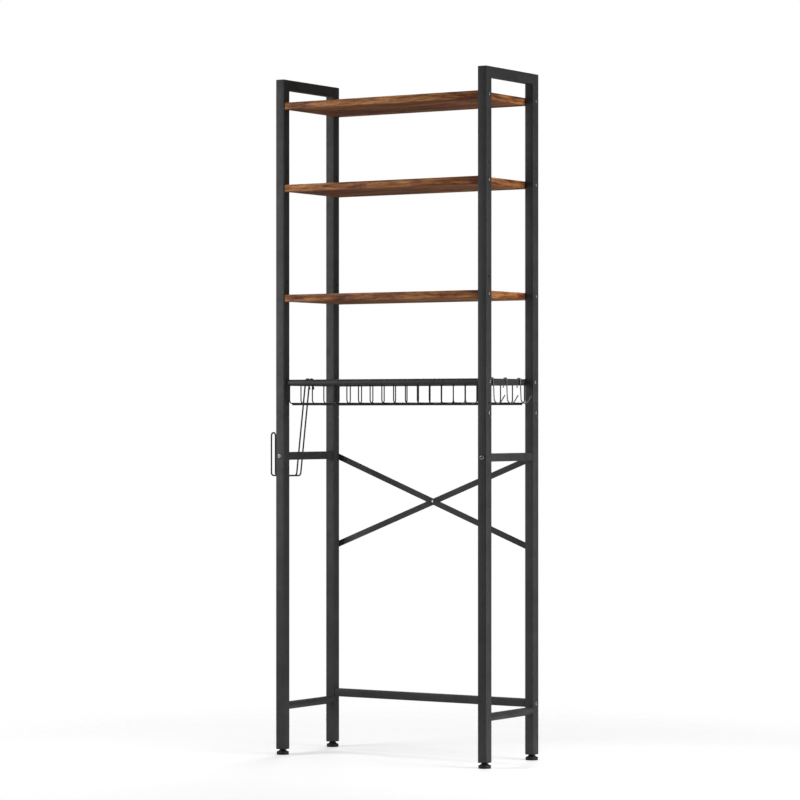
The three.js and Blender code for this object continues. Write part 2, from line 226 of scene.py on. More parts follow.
def fuse(obj, *parts):
    """Adds parts that overlap the piece, leaving one outer skin."""
    for part in parts:
        modify(obj, "BOOLEAN", operation="UNION", object=part, solver="EXACT")
        bpy.data.objects.remove(part)
    return obj


def weld(first, *others):
    """Several meshes become one piece."""
    if others:
        only(first, *others)
        bpy.ops.object.join()
    return first


def copy_of(obj, name, matrix):
    """A copy with a mesh of its own, placed by the matrix."""
    only(obj)
    bpy.ops.object.duplicate(linked=False)
    new = bpy.context.object
    new.matrix_world = matrix
    bpy.context.view_layer.update()
    return settle(name)


def drop(obj):
    bpy.data.objects.remove(obj)


def moved(x=0, y=0, z=0):
    return Matrix.Translation((x, y, z))


def hand_over(obj, body, slot, material, *nodes):
    obj.data.materials.clear()
    obj.data.materials.append(material)
    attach(obj, body)
    if nodes:
        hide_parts(*nodes)


def wire(name, corners, diameter, bend, sides=14, per_right_angle=6):
    """A bent wire: a ring is pushed along each straight and spun round each corner.

    A corner may carry a bend radius of its own as a fourth number.
    """
    points = [Vector(c[:3]) for c in corners]
    only()
    first = (points[1] - points[0]).normalized()
    bpy.ops.mesh.primitive_circle_add(
        vertices=sides, radius=diameter / 2, fill_type="NOTHING", location=points[0],
        rotation=first.to_track_quat("Z", "Y").to_euler(),
    )
    obj = settle(name)
    bpy.ops.object.mode_set(mode="EDIT")
    bpy.ops.mesh.select_mode(type="EDGE")
    bpy.ops.mesh.select_all(action="SELECT")
    here = points[0]
    for i in range(1, len(points) - 1):
        radius = corners[i][3] if len(corners[i]) > 3 else bend
        back = (points[i - 1] - points[i]).normalized()
        on = (points[i + 1] - points[i]).normalized()
        inside = back.angle(on)
        turn = math.pi - inside
        if turn < 0.01:
            continue
        start = points[i] + back * (radius / math.tan(inside / 2))
        centre = points[i] + (back + on).normalized() * (radius / math.sin(inside / 2))
        axis = back.cross(on).normalized()
        if (start - here).length > 0.01 * MM:
            push(start - here)
        steps = max(2, round(turn / (math.pi / 2) * per_right_angle))
        bpy.ops.mesh.spin(steps=steps, angle=turn, center=centre, axis=axis, dupli=False)
        here = points[i] + on * (radius / math.tan(inside / 2))
    push(points[-1] - here)
    bpy.ops.mesh.remove_doubles(threshold=0.005 * MM)
    for end in (points[0], points[-1]):
        pick(obj, "EDGE", lambda e: e.is_boundary and (e.verts[0].co - end).length < diameter)
        bpy.ops.mesh.edge_face_add()
    # The cut ends are blunted a little.
    pick(obj, "FACE", lambda f: len(f.verts) > 4)
    bpy.ops.mesh.inset(thickness=diameter * 0.16, depth=diameter * 0.08)
    bpy.ops.mesh.select_all(action="SELECT")
    bpy.ops.mesh.normals_make_consistent(inside=False)
    return finish_mesh(obj, 50)


# ---- materials ----
def per(size_mm):
    """The scale that gives a pattern this size."""
    return 1 / (size_mm * MM)


def srgb(code):
    """Linear colour from an sRGB hex value."""
    parts = [int(code[i : i + 2], 16) / 255 for i in (1, 3, 5)]
    return (*[p / 12.92 if p <= 0.04045 else ((p + 0.055) / 1.055) ** 2.4 for p in parts], 1)


def add(tree, kind, inputs=None, **settings):
    """Adds a node with its settings. An input given as a socket is linked, any other value is set."""
    node = tree.nodes.new("ShaderNode" + kind)
    for key, value in settings.items():
        setattr(node, key, value)
    for key, value in (inputs or {}).items():
        if isinstance(value, bpy.types.NodeSocket):
            tree.links.new(value, node.inputs[key])
        else:
            node.inputs[key].default_value = value
    return node


def new_material(name):
    material = bpy.data.materials.new(name)
    material.use_nodes = True
    material.node_tree.nodes.clear()
    return material, material.node_tree


def ramp(tree, factor, stops):
    """A colour ramp node with these (position, hex) stops."""
    node = add(tree, "ValToRGB", {"Fac": factor})
    band = node.color_ramp
    while len(band.elements) < len(stops):
        band.elements.new(0.5)
    for element, (position, code) in zip(band.elements, stops):
        element.position = position
        element.color = srgb(code)
    return node


def edge_wear(tree, place, width_mm, patch_mm, most):
    """How rubbed the surface is: along its edges only, and there in patches.

    Near an edge the rounded normal leans away from the flat one.
    """
    rounded = add(tree, "Bevel", {"Radius": width_mm * MM}, samples=4).outputs["Normal"]
    flat = add(tree, "NewGeometry").outputs["Normal"]
    agree = add(tree, "VectorMath", {0: rounded, 1: flat}, operation="DOT_PRODUCT").outputs["Value"]
    edge = add(tree, "MapRange", {
        "Value": agree, "From Min": 0.99, "From Max": 0.88, "To Min": 0.0, "To Max": most,
    })
    rub = add(tree, "TexNoise", {"Vector": place, "Scale": per(patch_mm), "Detail": 3.0})
    patches = add(tree, "MapRange", {"Value": rub.outputs["Fac"], "From Min": 0.42, "From Max": 0.62})
    return add(tree, "Math", {0: edge.outputs["Result"], 1: patches.outputs["Result"]},
               operation="MULTIPLY").outputs[0]


def powder_coat(name, dark, light, rough, specular, peel_mm, peel_depth_mm):
    """Baked polyester powder on steel: satin, with a fine orange peel and faint cloudy tone."""
    material, tree = new_material(name)
    place = add(tree, "TexCoord").outputs["Object"]
    # Clouds of tone as wide as two fingers.
    clouds = add(tree, "TexNoise", {"Vector": place, "Scale": per(55), "Detail": 4.0, "Roughness": 0.6})
    tone = ramp(tree, clouds.outputs["Fac"], [(0.35, dark), (0.65, light)])
    # Orange peel of about a millimetre, drawn as coarse as it shows.
    peel = add(tree, "TexNoise", {
        "Vector": place, "Scale": per(peel_mm), "Detail": 2.0, "Roughness": 0.5,
    })
    # Pale specks of half a millimetre.
    speck = add(tree, "TexNoise", {"Vector": place, "Scale": per(0.45), "Detail": 1.0})
    speckle = add(tree, "MapRange", {"Value": speck.outputs["Fac"], "From Min": 0.62, "From Max": 0.75,
                                     "To Min": 0.0, "To Max": 0.12})
    colour = add(tree, "Mix", {"Factor": speckle.outputs["Result"], "A": tone.outputs["Color"],
                               "B": srgb("#7b7c7e")}, data_type="RGBA")
    # Corners rubbed to a lighter, glossier grey in transit.
    wear = edge_wear(tree, place, 0.9, 14, most=0.45)
    worn = add(tree, "Mix", {"Factor": wear, "A": colour.outputs["Result"], "B": srgb("#747474")},
               data_type="RGBA")
    smears = add(tree, "TexNoise", {"Vector": place, "Scale": per(20), "Detail": 3.0})
    gloss = add(tree, "MapRange", {"Value": smears.outputs["Fac"], "From Min": 0.3, "From Max": 0.7,
                                   "To Min": rough - 0.05, "To Max": rough + 0.06})
    bump = add(tree, "Bump", {
        "Strength": 0.35, "Distance": peel_depth_mm * MM, "Height": peel.outputs["Fac"],
    })
    shader = add(tree, "BsdfPrincipled", {
        "Base Color": worn.outputs["Result"], "Roughness": gloss.outputs["Result"],
        "Normal": bump.outputs["Normal"], "Metallic": 0.0, "IOR": 1.5, "Specular IOR Level": specular,
    })
    add(tree, "OutputMaterial", {"Surface": shader.outputs["BSDF"]})
    return material


def rustic_laminate():
    """Printed wood-grain paper on chipboard: matte, warm brown, with dark streaks, knots and fine pores."""
    material, tree = new_material("rustic_brown_laminate")
    coords = add(tree, "TexCoord").outputs["Object"]
    normal = add(tree, "NewGeometry").outputs["Normal"]
    # The grain runs along the board on its faces and long edges, and along the edge band on its ends.
    across = add(tree, "SeparateXYZ", {"Vector": normal}).outputs["X"]
    is_end = add(tree, "Math", {0: add(tree, "Math", {0: across}, operation="ABSOLUTE").outputs[0], 1: 0.7},
                 operation="GREATER_THAN").outputs[0]
    parts = add(tree, "SeparateXYZ", {"Vector": coords}).outputs
    turned = add(tree, "CombineXYZ", {"X": parts["Y"], "Y": parts["X"], "Z": parts["Z"]}).outputs["Vector"]
    along = add(tree, "Mix", {"Factor": is_end, "A": coords, "B": turned},
                data_type="VECTOR").outputs["Result"]
    # The grain lines wander by a few millimetres over a hand's width.
    drift = add(tree, "TexNoise", {"Vector": along, "Scale": 7.0, "Detail": 2.0}, noise_dimensions="3D")
    wander = add(tree, "VectorMath", {0: drift.outputs["Color"], 1: (0.5, 0.5, 0.5)}, operation="SUBTRACT")
    wander = add(tree, "VectorMath", {0: wander.outputs["Vector"], "Scale": 22 * MM}, operation="SCALE")
    lines = add(tree, "VectorMath", {0: along, 1: wander.outputs["Vector"]},
                operation="ADD").outputs["Vector"]

    def grain(length_mm, width_mm, detail, rough):
        """Noise drawn out along the board."""
        size = (per(length_mm), per(width_mm), per(width_mm))
        stretch = add(tree, "Mapping", {"Vector": lines, "Scale": size})
        return add(tree, "TexNoise", {"Vector": stretch.outputs["Vector"], "Scale": 1.0, "Detail": detail,
                                      "Roughness": rough}).outputs["Fac"]

    planks = grain(260, 46, 3.0, 0.55)  # broad light and dark areas
    bands = grain(85, 7, 5.0, 0.68)  # growth rings
    fibres = grain(38, 1.3, 3.0, 0.7)
    pores = grain(16, 0.7, 2.0, 0.5)  # short dark pores
    mixed = add(tree, "Mix", {"Factor": 0.6, "A": planks, "B": bands}).outputs["Result"]
    mixed = add(tree, "Mix", {"Factor": 0.2, "A": mixed, "B": fibres}).outputs["Result"]
    tone = ramp(tree, mixed, [
        (0.37, "#2a140b"), (0.44, "#61341c"), (0.5, "#935931"), (0.56, "#bd7e4a"), (0.63, "#dda56b"),
    ])
    # Knots about 30 mm long and 15 mm wide, a hand's width apart, darkest in the middle.
    spots = add(tree, "Mapping", {"Vector": lines, "Scale": (9.5, 19.0, 19.0)})
    cells = add(tree, "TexVoronoi", {"Vector": spots.outputs["Vector"], "Scale": 1.0, "Randomness": 1.0})
    knot = add(tree, "MapRange", {"Value": cells.outputs["Distance"], "From Min": 0.05, "From Max": 0.24,
                                  "To Min": 0.85, "To Max": 0.0}, interpolation_type="SMOOTHSTEP")
    knotted = add(tree, "Mix", {"Factor": knot.outputs["Result"], "A": tone.outputs["Color"],
                                "B": srgb("#2c1a11")}, data_type="RGBA")
    # Dark cracks and saw tears, long and thin.
    tears = grain(55, 4.2, 6.0, 0.75)
    crack = add(tree, "MapRange", {
        "Value": tears, "From Min": 0.56, "From Max": 0.65, "To Min": 0.0, "To Max": 0.85,
    })
    cracked = add(tree, "Mix", {"Factor": crack.outputs["Result"], "A": knotted.outputs["Result"],
                                "B": srgb("#332015")}, data_type="RGBA")
    pore = add(tree, "MapRange", {
        "Value": pores, "From Min": 0.58, "From Max": 0.68, "To Min": 0.0, "To Max": 0.45,
    })
    colour = add(tree, "Mix", {"Factor": pore.outputs["Result"], "A": cracked.outputs["Result"],
                               "B": srgb("#4a2f20")}, data_type="RGBA")
    # The paper is rubbed paler along the edges of the board.
    wear = edge_wear(tree, coords, 1.0, 20, most=0.5)
    rubbed = add(tree, "Mix", {"Factor": wear, "A": colour.outputs["Result"], "B": srgb("#b08d6c")},
                 data_type="RGBA")
    height = add(tree, "Mix", {"Factor": 0.5, "A": fibres, "B": pores}).outputs["Result"]
    bump = add(tree, "Bump", {"Strength": 0.4, "Distance": 0.12 * MM, "Height": height}, invert=True)
    gloss = add(tree, "MapRange", {
        "Value": bands, "From Min": 0.3, "From Max": 0.7, "To Min": 0.48, "To Max": 0.64,
    })
    # Painted shade: the underside is mixed a quarter of the way to a greyer brown, standing in for the shade
    # under the board.
    down = add(tree, "SeparateXYZ", {"Vector": normal}).outputs["Z"]
    is_under = add(tree, "Math", {0: down, 1: -0.7}, operation="LESS_THAN").outputs[0]
    # The greyer brown that paints the shade on the underside.
    painted_under_shade = add(tree, "Mix", {"Factor": 0.24, "A": rubbed.outputs["Result"], "B": srgb("#6e5a4c")},
                data_type="RGBA")
    faces = add(tree, "Mix", {"Factor": is_under, "A": rubbed.outputs["Result"],
                              "B": painted_under_shade.outputs["Result"]}, data_type="RGBA")
    shader = add(tree, "BsdfPrincipled", {
        "Base Color": faces.outputs["Result"], "Roughness": gloss.outputs["Result"],
        "Normal": bump.outputs["Normal"], "Metallic": 0.0, "IOR": 1.48, "Specular IOR Level": 0.25,
    })
    add(tree, "OutputMaterial", {"Surface": shader.outputs["BSDF"]})
    return material


def plated_steel(name, dark, light, rough):
    """Plated or blackened steel: metallic, slightly uneven in tone and faintly pitted."""
    material, tree = new_material(name)
    place = add(tree, "TexCoord").outputs["Object"]
    plating = add(tree, "TexNoise", {"Vector": place, "Scale": per(3), "Detail": 4.0})
    tone = ramp(tree, plating.outputs["Fac"], [(0.35, dark), (0.65, light)])
    # Edges rubbed brighter, as a screw's socket is by its key.
    wear = edge_wear(tree, place, 0.3, 2, most=0.6)
    worn = add(tree, "Mix", {"Factor": wear, "A": tone.outputs["Color"], "B": srgb("#a8a8aa")},
               data_type="RGBA")
    fine = add(tree, "TexNoise", {"Vector": place, "Scale": per(0.6), "Detail": 2.0})
    gloss = add(tree, "MapRange", {"Value": fine.outputs["Fac"], "From Min": 0.3, "From Max": 0.7,
                                   "To Min": rough - 0.06, "To Max": rough + 0.08})
    bump = add(tree, "Bump", {"Strength": 0.2, "Distance": 0.02 * MM, "Height": fine.outputs["Fac"]})
    shader = add(tree, "BsdfPrincipled", {
        "Base Color": worn.outputs["Result"], "Roughness": gloss.outputs["Result"],
        "Normal": bump.outputs["Normal"], "Metallic": 1.0,
    })
    add(tree, "OutputMaterial", {"Surface": shader.outputs["BSDF"]})
    return material


def moulded_plastic():
    """Injection-moulded polypropylene: matte black, with the spark-eroded grain of its mould."""
    material, tree = new_material("moulded_black_polypropylene")
    place = add(tree, "TexCoord").outputs["Object"]
    flow = add(tree, "TexNoise", {"Vector": place, "Scale": per(12), "Detail": 3.0})
    tone = ramp(tree, flow.outputs["Fac"], [(0.35, "#060607"), (0.65, "#0d0d0e")])
    # Rims scuffed to a duller grey by the floor.
    wear = edge_wear(tree, place, 0.7, 4, most=0.35)
    scuffed = add(tree, "Mix", {"Factor": wear, "A": tone.outputs["Color"], "B": srgb("#2c2c2e")},
                  data_type="RGBA")
    grain = add(tree, "TexNoise", {"Vector": place, "Scale": per(0.6), "Detail": 2.0})
    gloss = add(tree, "MapRange", {"Value": grain.outputs["Fac"], "From Min": 0.3, "From Max": 0.7,
                                   "To Min": 0.46, "To Max": 0.62})
    bump = add(tree, "Bump", {"Strength": 0.3, "Distance": 0.05 * MM, "Height": grain.outputs["Fac"]})
    shader = add(tree, "BsdfPrincipled", {
        "Base Color": scuffed.outputs["Result"], "Roughness": gloss.outputs["Result"],
        "Normal": bump.outputs["Normal"], "Metallic": 0.0, "IOR": 1.49,
    })
    add(tree, "OutputMaterial", {"Surface": shader.outputs["BSDF"]})
    return material


charcoal = powder_coat(
    "charcoal_powder_coat", "#353535", "#3e3e3e", rough=0.48, specular=0.3, peel_mm=1.1, peel_depth_mm=0.05,
)
black_coat = powder_coat(
    "black_powder_coat", "#070708", "#0e0e0f", rough=0.42, specular=0.3, peel_mm=0.8, peel_depth_mm=0.04,
)
board_finish = rustic_laminate()
screw_plating = plated_steel("black_nickel_plating", "#88888b", "#a2a2a5", rough=0.32)
hook_plating = plated_steel("bright_nickel_wire", "#77777a", "#8c8c8f", rough=0.3)
sleeve_steel = plated_steel("blackened_steel_tube", "#161617", "#202021", rough=0.5)
plastic = moulded_plastic()


# ---- side frames ----
def side_hole(x, y, z, diameter):
    """Cuts a post through its inner and outer face."""
    return bore(diameter, at(x - TUBE, y, z), at(x + TUBE, y, z))


def post_hole(x, y, z, diameter):
    """Cuts a post through its front and back face."""
    return bore(diameter, at(x, y - TUBE, z), at(x, y + TUBE, z))


def weld_bead(x, y, z):
    """The rippled bead along the inner corner where the top rail meets a post."""
    radius, ripple, swell = 1.5 * MM, 2.2 * MM, 1.12
    reach = TUBE / 2 - radius
    bead = round_bar("bead", radius, at(x - reach, y, z), at(x + reach, y, z), 12)
    pick(bead, "FACE", lambda f: True)
    bpy.ops.mesh.subdivide(number_cuts=3)
    pick(bead, "VERT", lambda v: round((v.co.x - MID_X) / ripple) % 2 == 0)
    bpy.ops.transform.resize(value=(1, swell, swell), center_override=at(x, y, z))
    return bead


def upper_frame(side_name):
    side = SIDES[side_name]
    x0, x1 = side * POST_X - TUBE / 2, side * POST_X + TUBE / 2
    obj = block(f"{side_name}_upper_tube", at(x0, -HALF_DEPTH, SEAM_Z), at(x1, -INNER_Y, TOP_Z - TUBE))
    pick(obj, "FACE", facing((0, 0, 1)))
    push((0, 0, TUBE))
    pick(obj, "FACE", lambda f: f.normal.y > FLAT and f.calc_center_median().z > TOP_Z - TUBE)
    push((0, 2 * INNER_Y, 0))
    push((0, TUBE, 0))
    pick(obj, "FACE", lambda f: f.normal.z < -FLAT and f.calc_center_median().y > MID_Y + INNER_Y)
    push((0, 0, SEAM_Z - TOP_Z + TUBE))
    pick(obj, "FACE", facing((0, 0, -1), -SEAM_Z))
    bpy.ops.mesh.delete(type="FACE")
    round_edges(obj, sharp, CORNER, 4)
    modify(obj, "SOLIDIFY", thickness=WALL, offset=-1)
    holes = []
    for end in ENDS.values():
        for name in BOARDS:
            holes.append((end * POST_Y, middle(f"shelf_screw_{name}_front_left").z, CLEAR["M4"]))
        for z in SPARE_HOLES:
            holes.append((end * POST_Y, z, CLEAR["M4"]))
        holes.append((end * POST_Y, middle("joint_bolt_front_left").z, CLEAR["M6"]))
        holes.append((end * BASKET_Y, middle("basket_bolt_front_left").z, CLEAR["M5"]))
    drill(obj, *[side_hole(side * POST_X, *hole) for hole in holes])
    beads = [weld_bead(side * POST_X, end * INNER_Y, TOP_Z - TUBE) for end in ENDS.values()]
    return finish_mesh(weld(obj, *beads))


def post_tube(name, x, y, z0, z1):
    obj = block(name, at(x - TUBE / 2, y - TUBE / 2, z0), at(x + TUBE / 2, y + TUBE / 2, z1))
    pick(obj, "FACE", lambda f: abs(f.normal.z) > FLAT)
    bpy.ops.mesh.delete(type="FACE")
    round_edges(obj, sharp, CORNER, 4)
    return modify(obj, "SOLIDIFY", thickness=WALL, offset=-1)


def flared_bar(name, radius, start, end, flare):
    """A round bar whose two ends carry the fillet of the weld that holds it."""
    obj = round_bar(name, radius, start, end, 32)
    run = (end - start).normalized()
    grow = 1 + flare / radius * 0.7
    for foot, way in ((start, run), (end, -run)):
        pick(obj, "FACE", lambda f: True)
        bpy.ops.mesh.bisect(plane_co=foot + way * flare, plane_no=run)
        pick(obj, "VERT", lambda v: (v.co - foot).dot(way) < flare * 0.2)
        widen = [1 if abs(c) > SIDEWAYS else grow for c in run]
        bpy.ops.transform.resize(value=widen, center_override=foot)
    return obj


def lower_frame(side_name):
    side = SIDES[side_name]
    low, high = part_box(f"lower_frame_{side_name}")
    x = side * POST_X
    front = post_tube(f"{side_name}_lower_tube", x, -POST_Y, low[2], high[2])
    back = post_tube("back", x, POST_Y, low[2], high[2])
    obj = weld(front, back)
    mid_z = middle("mid_rail_left").z
    cuts = [post_hole(x, end * POST_Y, mid_z, CLEAR["M6"]) for end in ENDS.values()]
    cuts.append(side_hole(x, POST_Y, middle("back_rail").z, CLEAR["M6"]))
    # The brace's lower bolt goes through the back face only.
    brace_z = middle("brace_bolt_left").z
    cuts.append(bore(CLEAR["M5"], at(x, POST_Y, brace_z), at(x, POST_Y + TUBE, brace_z)))
    drill(obj, *cuts)
    # The bottom rail bites a little into both posts.
    radius, reach, flare = 10 * MM, INNER_Y + 0.3 * MM, 2.2 * MM
    bottom = flared_bar("rail", radius, at(x, -reach, SIDE_RAIL_Z), at(x, reach, SIDE_RAIL_Z), flare)
    return finish_mesh(weld(obj, bottom))


for side_name in SIDES:
    hand_over(upper_frame(side_name), RACK, "painted_tube", charcoal, f"upper_frame_{side_name}")
    hand_over(lower_frame(side_name), RACK, "painted_tube", charcoal, f"lower_frame_{side_name}")


# ---- rails between the posts ----
def rail(name, node, axis):
    """A square rail with a blind hole for its bolt in each end."""
    low, high = (Vector(v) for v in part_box(node))
    obj = block(name, low, high)
    round_edges(obj, runs_along(axis), RAIL_CORNER, 4)
    mid = (low + high) / 2
    length = Vector([(high - low)[axis] if i == axis else 0 for i in range(3)])
    floor, mouth = 0.42, 0.52  # of the rail's length, from its middle
    drill(obj, *[
        bore(CLEAR["M6"], mid + length * floor * way, mid + length * mouth * way) for way in (-1, 1)
    ])
    return finish_mesh(obj)


for side_name in SIDES:
    hand_over(rail(f"{side_name}_mid_rail_tube", f"mid_rail_{side_name}", Y), RACK, "painted_tube", charcoal,
              f"mid_rail_{side_name}")
hand_over(rail("back_rail_tube", "back_rail", X), RACK, "painted_tube", charcoal, "back_rail")


# ---- cross brace ----
def brace_bar(name, node, rise, bosses):
    """A flat bar with round ends, and with pads under its ends where it has bosses.

    rise is 1 where its right end is the high one, -1 where it is the low one.
    """
    low, high = (Vector(v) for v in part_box(node))
    thick, wide = 2 * MM, 15 * MM
    top_z, low_z = middle("mid_rail_left").z, middle("brace_bolt_left").z
    mid_z = (top_z + low_z) / 2
    half = math.hypot(POST_X, (top_z - low_z) / 2) + wide / 2
    y1 = high.y
    y0 = y1 - thick
    through = 10 * MM  # how far a tool stands out of the bar
    obj = block(name, (-half, y0, -wide / 2), (half, y1, wide / 2))
    round_edges(obj, runs_along(Y), wide * 0.495, 8)
    round_edges(obj, sharp, 0.35 * MM, 2)
    object_mode()
    slope = math.atan2((top_z - low_z) / 2, POST_X)
    obj.matrix_world = moved(MID_X, 0, mid_z) @ Matrix.Rotation(-rise * slope, 4, "Y")
    only(obj)
    bpy.ops.object.transform_apply(location=True, rotation=True, scale=True)
    cuts = [bore(CLEAR["M5"], Vector((MID_X, y0 - through, mid_z)), Vector((MID_X, y1 + through, mid_z)))]
    ends = [(MID_X + way * POST_X, top_z if way * rise > 0 else low_z) for way in (-1, 1)]
    if bosses:
        pad, bite = 7 * MM, 0.2 * MM
        fuse(obj, *[
            round_bar("pad", pad, Vector((x, low.y, z)), Vector((x, y0 + bite, z)), 28) for x, z in ends
        ])
    for x, z in ends:
        bolt = "M6" if z == top_z else "M5"
        cuts.append(bore(CLEAR[bolt], Vector((x, low.y - through, z)), Vector((x, y1 + through, z))))
    drill(obj, *cuts)
    return finish_mesh(obj)


hand_over(brace_bar("brace_falling", "brace_bar_inner", -1, False), RACK, "painted_tube", charcoal,
          "brace_bar_inner")
hand_over(brace_bar("brace_rising", "brace_bar_outer", 1, True), RACK, "painted_tube", charcoal,
          "brace_bar_outer")


def rivet():
    """Domed at the back, a flat formed head at the front."""
    low, high = (Vector(v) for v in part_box("brace_rivet"))
    x, z = (low.x + high.x) / 2, (low.z + high.z) / 2
    radius = (high.x - low.x) / 2
    dome_high, button_high, bite, near = 1.8 * MM, 0.9 * MM, 0.5 * MM, 0.1 * MM

    def turned(name, r, y0, y1):
        return round_bar(name, r, Vector((x, y0, z)), Vector((x, y1, z)), 28)

    dome = turned("rivet", radius, high.y - dome_high, high.y)
    round_edges(dome, rim(Y, above=high.y - near), 1.6 * MM, 5)
    button = turned("button", radius, low.y, low.y + button_high)
    round_edges(button, rim(Y, below=low.y + near), 0.4 * MM, 2)
    shank = turned("shank", 2.5 * MM, low.y + bite, high.y - bite)
    return finish_mesh(fuse(dome, shank, button), 30)


hand_over(rivet(), RACK, "fastener", screw_plating, "brace_rivet")


# ---- boards ----
def board(name):
    low, high = (Vector(v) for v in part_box(f"shelf_{name}"))
    obj = block(f"board_{name}", low, high)
    round_edges(obj, lambda e: True, 0.9 * MM, 3)
    z = (low.z + high.z) / 2
    pilot, depth, through = 4.8 * MM, 22 * MM, 5 * MM
    holes = []
    for side, face in ((-1, low.x), (1, high.x)):
        for end in ENDS.values():
            y = MID_Y + end * POST_Y
            floor, mouth = face - side * depth, face + side * through
            holes.append(bore(pilot, Vector((floor, y, z)), Vector((mouth, y, z)), 16))
    drill(obj, *holes)
    return finish_mesh(obj)


for name in BOARDS:
    hand_over(board(name), RACK, "board", board_finish, f"shelf_{name}")


# ---- screws: button head with a hexagon socket ----
def screw_pattern(name, head, head_high, shank, length, key):
    """A screw along Z with the underside of its head at the origin."""
    obj = round_bar(name, head / 2, Vector((0, 0, 0)), Vector((0, 0, head_high)), 28)
    round_edges(obj, rim(Z, above=head_high * 0.9), head_high * 0.72, 5)
    # The socket goes right through the head, and the end of the shank is its floor.
    corner = key / 2 / math.cos(math.pi / 6)
    socket = round_bar("socket", corner, Vector((0, 0, -MM)), Vector((0, 0, head_high * 2)), 6)
    drill(obj, socket)
    body = round_bar("shank", shank / 2, Vector((0, 0, -length)), Vector((0, 0, 0.01 * MM)), 16)
    pick(body, "FACE", facing((0, 0, -1)))
    bpy.ops.mesh.inset(thickness=shank * 0.12, depth=shank * 0.12)
    return finish_mesh(weld(obj, body), 30)


TURN = {  # which way the head looks
    "+x": Matrix.Rotation(math.pi / 2, 4, "Y"),
    "-x": Matrix.Rotation(-math.pi / 2, 4, "Y"),
    "+y": Matrix.Rotation(-math.pi / 2, 4, "X"),
    "-y": Matrix.Rotation(math.pi / 2, 4, "X"),
}
# In millimetres: the head's width and height, the shank, and the key across its flats.
HEADS = {"M4": (9, 2.6, 4, 3), "M5": (10, 2.8, 5, 4), "M6": (11.5, 3.2, 6, 5)}


def place_screw(node, size, way):
    low, high = (Vector(v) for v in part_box(node))
    head, head_high, shank, key = (v * MM for v in HEADS[size])
    axis = X if "x" in way else Y
    sign = 1 if way[0] == "+" else -1
    length = (high - low)[axis] - head_high
    pattern = screw_pattern("pattern", head, head_high, shank, length, key)
    foot = (low + high) / 2
    foot[axis] = (high[axis] if sign > 0 else low[axis]) - sign * head_high
    seat = copy_of(pattern, "screw_" + node, Matrix.Translation(foot) @ TURN[way])
    drop(pattern)
    hand_over(seat, RACK, "fastener", screw_plating, node)


for side_name, side in SIDES.items():
    outward = "+x" if side > 0 else "-x"
    for end_name in ENDS:
        for name in BOARDS:
            place_screw(f"shelf_screw_{name}_{end_name}_{side_name}", "M4", outward)
        place_screw(f"basket_bolt_{end_name}_{side_name}", "M5", outward)
        place_screw(f"joint_bolt_{end_name}_{side_name}", "M6", outward)
        place_screw(f"mid_rail_bolt_{end_name}_{side_name}", "M6", "-y" if end_name == "front" else "+y")
    place_screw(f"back_rail_bolt_{side_name}", "M6", outward)
    place_screw(f"brace_bolt_{side_name}", "M5", "+y")


# ---- basket ----
def basket_ring():
    low, high = (Vector(v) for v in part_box("basket_frame"))
    z = (low.z + high.z) / 2
    radius = (high.z - low.z) / 2
    rows = (low.y + radius, high.y - radius)
    bite, through = MM, 10 * MM
    start, end = low.x + STRIP - bite, high.x - STRIP + bite
    pieces = [round_bar("bar", radius, Vector((start, y, z)), Vector((end, y, z)), 32) for y in rows]
    for x0 in (low.x, high.x - STRIP):
        plate = block("strip", (x0, low.y, low.z), (x0 + STRIP, high.y, high.z))
        round_edges(plate, runs_along(X), 3 * MM, 4)
        round_edges(plate, sharp, 0.5 * MM, 2)
        drill(plate, *[
            bore(CLEAR["M5"], Vector((x0 - through, y, z)), Vector((x0 + through, y, z))) for y in rows
        ])
        pieces.append(plate)
    pieces[0].name = "basket_ring"
    return finish_mesh(weld(*pieces))


def basket_tray():
    """Seventeen cross wires, bent down, along the floor and up again, spot welded on four long wires."""
    low, high = (Vector(v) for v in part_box("basket_wire_tray"))
    mid = (low + high) / 2
    thin, thick = 3 * MM, 4 * MM
    count, pitch = 17, 34.9 * MM
    side_y, top_z = 111.8 * MM, high.z
    long_z = TRAY_FLOOR_Z + thick / 2
    cross_z = long_z + (thick + thin) / 2 - 0.5 * MM
    columns = [mid.x + (i - (count - 1) / 2) * pitch for i in range(count)]
    front_y, back_y = MID_Y - side_y, MID_Y + side_y
    pattern = wire("cross_wire", [
        (0, front_y, top_z), (0, front_y, cross_z), (0, back_y, cross_z), (0, back_y, top_z),
    ], thin, 9 * MM, 12, 7)
    pieces = [copy_of(pattern, f"cross_wire_{i}", moved(x)) for i, x in enumerate(columns)]
    drop(pattern)
    reach = thin / 2 - 0.1 * MM
    rows = [MID_Y + y * MM for y in (-97, -35, 35, 97)]
    run = [(columns[0] - reach, 0, long_z), (columns[-1] + reach, 0, long_z)]
    pattern = wire("long_wire", run, thick, MM, 14)
    pieces += [copy_of(pattern, f"long_wire_{i}", moved(y=y)) for i, y in enumerate(rows)]
    drop(pattern)
    only()
    bpy.ops.mesh.primitive_ico_sphere_add(subdivisions=2, radius=1.5 * MM)
    nugget = settle("weld_nugget")
    pick(nugget, "FACE", lambda f: True)
    bpy.ops.transform.resize(value=(1.25, 1.25, 0.7))
    # Spot welds where the wires cross, and where each cross wire meets the bar above it.
    spots = [(x, y, long_z + thick / 2) for x in columns for y in rows]
    spots += [(x, y, top_z) for x in columns for y in (front_y, back_y)]
    pieces += [copy_of(nugget, "spot_weld", moved(*spot)) for spot in spots]
    drop(nugget)
    pieces[0].name = "basket_wires"
    return finish_mesh(weld(*pieces), 50)


hand_over(basket_ring(), RACK, "painted_tube", charcoal, "basket_frame")
hand_over(basket_tray(), RACK, "black_wire", black_coat, "basket_wire_tray")


